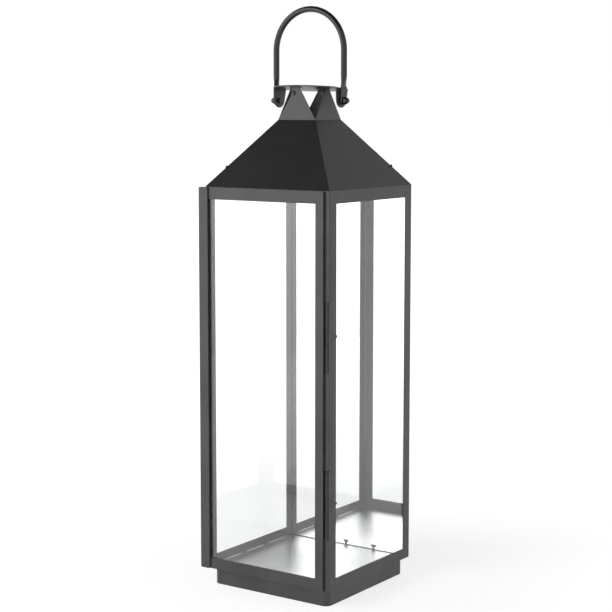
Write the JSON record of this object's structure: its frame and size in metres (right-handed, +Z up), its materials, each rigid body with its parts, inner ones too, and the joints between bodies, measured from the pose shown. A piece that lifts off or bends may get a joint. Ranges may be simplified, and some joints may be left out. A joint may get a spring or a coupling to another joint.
{
  "type": "floor candle lantern",
  "caption": "Tall square metal and glass candle lantern for the floor, with a hinged glass door, a mirror back wall, a hipped roof with a raised vent cap and a folding bail handle.",
  "frame": {"origin": "middle of the plinth's underside, on the ground", "axes": "+Z up along the lantern's height, -Y out of the door, +X towards the door's hinges"},
  "size_m": [0.2504, 0.2479, 0.9382],
  "materials": {
    "black_paint": "semi-gloss black powder coat",
    "black_fittings": "satin black",
    "bare_steel": "bare galvanised sheet",
    "pin_steel": "dull steel",
    "clear_glass": "clear float glass",
    "mirror_glass": "silvered glass",
    "magnet": "dark ferrite"
  },
  "bodies": {
    "lantern": {"plinth": "black_paint", "floor_plate": "bare_steel", "post_front_right": "black_paint", "post_front_left": "black_paint", "post_back_right": "black_paint", "post_back_left": "black_paint", "top_rail_back": "black_paint", "top_rail_left": "black_paint", "top_rail_front": "black_paint", "top_rail_right": "black_paint", "bottom_rail_back": "black_paint", "bottom_rail_left": "black_paint", "bottom_rail_front": "black_paint", "bottom_rail_right": "black_paint", "pane_right": "clear_glass", "pane_left": "clear_glass", "mirror": "mirror_glass", "mirror_backing": "black_paint", "pane_clips_right": "black_fittings", "pane_clips_left": "black_fittings", "mirror_top_clips": "black_fittings", "mirror_foot_clips": "black_fittings", "roof_front": "black_paint", "roof_right": "black_paint", "roof_back": "black_paint", "roof_left": "black_paint", "roof_hip_rivets": "black_fittings", "vent_flap_front": "black_paint", "vent_flap_right": "black_paint", "vent_flap_back": "black_paint", "vent_flap_left": "black_paint", "cap": "black_paint", "cap_brackets": "black_fittings", "flap_rivets": "black_fittings", "cap_rivets": "black_fittings", "pivot_bolts": "black_fittings", "pivot_washers": "black_fittings", "pivot_nuts": "black_fittings", "hinge_fixed_leaf_lower": "black_fittings", "hinge_fixed_leaf_upper": "black_fittings", "hinge_pin_lower": "pin_steel", "hinge_pin_upper": "pin_steel", "door_magnet": "magnet"},
    "door": {"door_top_rail": "black_paint", "door_bottom_rail": "black_paint", "door_hinge_stile": "black_paint", "door_pull_stile": "black_paint", "door_glass": "clear_glass", "door_glass_clips": "black_fittings", "pull_rivets": "black_fittings", "hinge_moving_leaf_lower": "black_fittings", "hinge_moving_leaf_upper": "black_fittings", "hinge_leaf_rivets": "black_fittings"},
    "handle": {"bail_handle": "black_paint"}
  },
  "joints": [
    {"name": "door_hinge", "type": "hinge", "parent": "lantern", "child": "door", "pos_m": [0.1193, -0.1232, 0.3395], "axis": [0, 0, 1], "range_deg": [0, 170]},
    {"name": "handle_pivot", "type": "hinge", "parent": "lantern", "child": "handle", "pos_m": [0, 0, 0.7878], "axis": [1, 0, 0], "range_deg": [-130, 130]}
  ]
}
